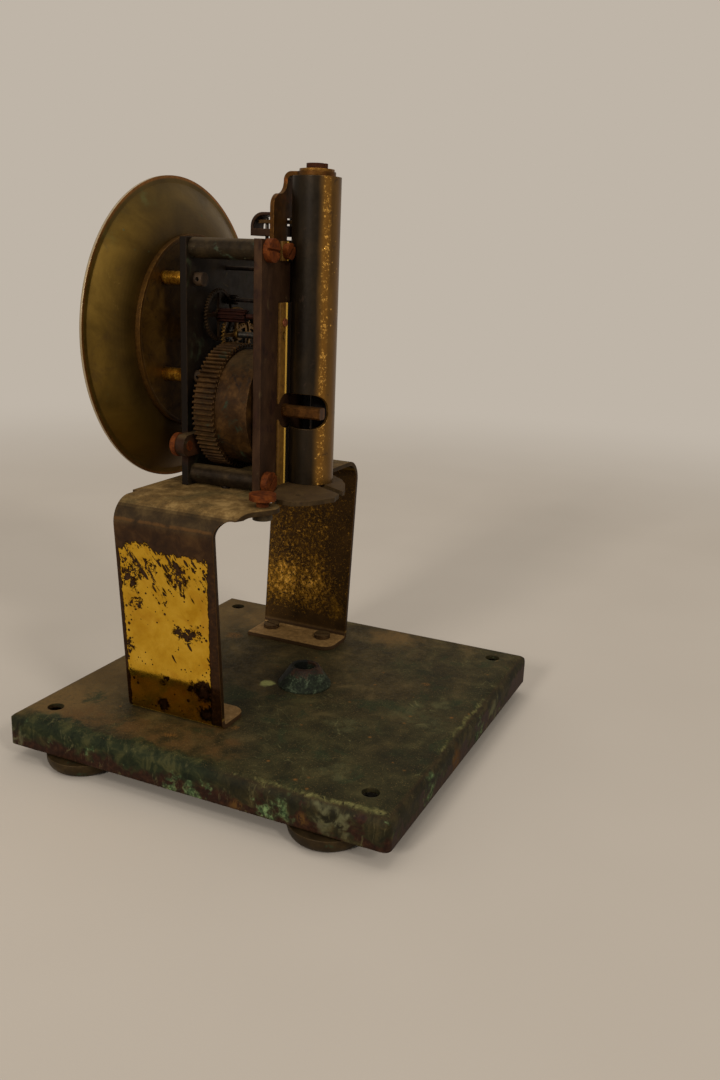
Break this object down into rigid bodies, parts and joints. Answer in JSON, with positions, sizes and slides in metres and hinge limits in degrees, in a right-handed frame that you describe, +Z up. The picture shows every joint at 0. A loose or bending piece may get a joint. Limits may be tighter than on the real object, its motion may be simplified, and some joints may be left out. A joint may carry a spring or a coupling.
{
  "type": "torsion clock",
  "caption": "Small skeleton torsion clock on a square footed base: bridge stand, plated movement with toothed barrel, round dial, and a tube guard for the hanging spring.",
  "frame": {"origin": "middle of the base's underside, at the level of the feet", "axes": "+X to the right of the dial, +Y from the dial to the back, +Z up"},
  "size_m": [0.1454, 0.14, 0.1966],
  "materials": {
    "backing_brass": "satin, bright edge",
    "barrel_brass": "dull",
    "base_brass": "dusty with green patches",
    "blued_steel": "polished",
    "bracket_brass": "satin",
    "bridge_brass": "satin, spotted",
    "brown_steel": "satin, browned",
    "cup_brass": "dark with green patches",
    "dark_steel": "dull",
    "dial_brass": "satin, spotted",
    "foot_brass": "dark",
    "foot_studs": "bright",
    "guide_brass": "dusty",
    "pillar_steel": "dull",
    "plate_brass": "dull, browned",
    "red_steel": "dull, rusted",
    "rusty_steel": "rusted",
    "steel": "satin",
    "tube_brass": "satin, browned",
    "wheel_brass": "satin"
  },
  "bodies": {
    "frame": {"base_plate": "base_brass", "foot_front_right": "foot_brass", "foot_front_left": "foot_brass", "foot_rear_right": "foot_brass", "foot_rear_left": "foot_brass", "centre_cup": "cup_brass", "cup_nut": "foot_brass", "stand_bridge": "bridge_brass", "stand_screws": "foot_brass", "stand_nuts": "foot_brass", "lobe_screw": "rusty_steel", "lobe_bush": "plate_brass", "movement_screws": "dark_steel", "lower_guide": "guide_brass", "front_plate": "plate_brass", "back_plate": "plate_brass", "pillar_top_right": "pillar_steel", "pillar_top_left": "pillar_steel", "pillar_bottom_right": "pillar_steel", "pillar_bottom_left": "pillar_steel", "pillar_screws": "rusty_steel", "side_screw": "rusty_steel", "tube_guard": "tube_brass", "tube_screws": "rusty_steel", "tube_rivets": "red_steel", "suspension_bracket": "bracket_brass", "top_washer": "bracket_brass", "top_screw": "rusty_steel", "top_block": "bracket_brass", "pin_guard": "plate_brass", "click_spring": "steel", "click_screws": "rusty_steel", "minute_post": "steel", "dial": "dial_brass", "dial_backing": "backing_brass", "dial_feet": "foot_studs"},
    "centre": {"centre_wheel": "wheel_brass", "centre_arbor": "steel", "cannon_pinion": "steel", "minute_hand": "blued_steel"},
    "second": {"second_wheel": "wheel_brass", "second_arbor": "steel"},
    "third": {"third_wheel": "barrel_brass", "third_arbor": "red_steel"},
    "escape": {"escape_wheel": "wheel_brass", "escape_arbor": "dark_steel"},
    "barrel": {"barrel_drum": "barrel_brass", "barrel_cap": "barrel_brass", "mainspring": "blued_steel"},
    "winding": {"winding_arbor": "brown_steel", "ratchet_wheel": "steel"},
    "click_lever": {"click": "steel"},
    "minute_work": {"minute_wheel": "wheel_brass"},
    "hour_work": {"hour_wheel": "wheel_brass", "hour_hand": "blued_steel"},
    "anchor_lever": {"anchor": "dark_steel", "anchor_pin": "steel"},
    "suspension": {"suspension_spring": "steel", "fork": "bracket_brass", "lower_block": "bracket_brass"}
  },
  "joints": [
    {"name": "centre_turn", "type": "hinge", "parent": "frame", "child": "centre", "pos_m": [0, -0.0157, 0.1412], "axis": [0, 1, 0], "continuous": true},
    {"name": "second_turn", "type": "hinge", "parent": "frame", "child": "second", "pos_m": [-0.01106, -0.0157, 0.13269], "axis": [0, 1, 0], "continuous": true},
    {"name": "third_turn", "type": "hinge", "parent": "frame", "child": "third", "pos_m": [0.00857, -0.0157, 0.14809], "axis": [0, 1, 0], "continuous": true},
    {"name": "escape_turn", "type": "hinge", "parent": "frame", "child": "escape", "pos_m": [0, -0.0157, 0.15284], "axis": [0, 1, 0], "continuous": true},
    {"name": "barrel_turn", "type": "hinge", "parent": "frame", "child": "barrel", "pos_m": [0.008, -0.0157, 0.1182], "axis": [0, 1, 0], "continuous": true},
    {"name": "winding_turn", "type": "hinge", "parent": "frame", "child": "winding", "pos_m": [0.008, -0.0157, 0.1182], "axis": [0, 1, 0], "continuous": true},
    {"name": "click_lift", "type": "hinge", "parent": "frame", "child": "click_lever", "pos_m": [0.0126, -0.0317, 0.12685], "axis": [0, 1, 0], "range_deg": [0, 8]},
    {"name": "minute_work_turn", "type": "hinge", "parent": "frame", "child": "minute_work", "pos_m": [-0.00636, -0.0327, 0.13484], "axis": [0, 1, 0], "continuous": true},
    {"name": "hour_turn", "type": "hinge", "parent": "frame", "child": "hour_work", "pos_m": [0, -0.0347, 0.1412], "axis": [0, 1, 0], "continuous": true},
    {"name": "anchor_rock", "type": "hinge", "parent": "frame", "child": "anchor_lever", "pos_m": [0, -0.0157, 0.16324], "axis": [0, 1, 0], "range_deg": [-3, 3]},
    {"name": "suspension_twist", "type": "hinge", "parent": "frame", "child": "suspension", "pos_m": [0, 0.0056, 0.178], "axis": [0, 0, 1], "range_deg": [-3, 3]}
  ],
  "couplings": [
    {"joint": "second_turn", "follows": "centre_turn", "ratio": -0.19231},
    {"joint": "barrel_turn", "follows": "centre_turn", "ratio": 0.032051},
    {"joint": "third_turn", "follows": "centre_turn", "ratio": -4.5},
    {"joint": "escape_turn", "follows": "centre_turn", "ratio": 27},
    {"joint": "minute_work_turn", "follows": "centre_turn", "ratio": -0.33333},
    {"joint": "hour_turn", "follows": "centre_turn", "ratio": 0.083333},
    {"joint": "suspension_twist", "follows": "anchor_rock", "ratio": 0.84862}
  ]
}
